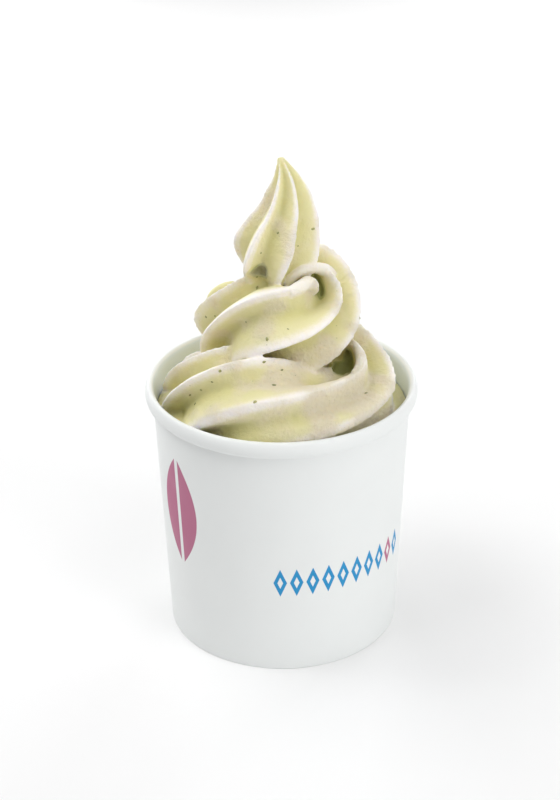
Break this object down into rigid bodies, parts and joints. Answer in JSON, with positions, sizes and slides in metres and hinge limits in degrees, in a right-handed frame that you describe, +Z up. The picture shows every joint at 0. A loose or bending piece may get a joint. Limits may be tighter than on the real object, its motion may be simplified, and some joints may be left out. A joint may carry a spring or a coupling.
{
  "type": "frozen yogurt cup",
  "caption": "Tall piped swirl of pale green frozen yogurt, ridged and drawn up to a point, in a round white paper tub with a rolled rim.",
  "frame": {"origin": "centre of the tub's foot ring, on the surface it stands on", "axes": "+Z up through the tip of the swirl, -Y towards the viewer of the picture, +X to that viewer's right"},
  "size_m": [0.096, 0.096, 0.1776],
  "materials": {
    "cup_paper": "white coated paper, satin",
    "cup_board": "white coated paper board, matte",
    "yogurt": "pale pistachio frozen yogurt, softly damp, with fine dark green flecks"
  },
  "bodies": {
    "root": {"cup_wall": "cup_paper", "cup_base": "cup_board", "frozen_yogurt": "yogurt"}
  },
  "joints": []
}
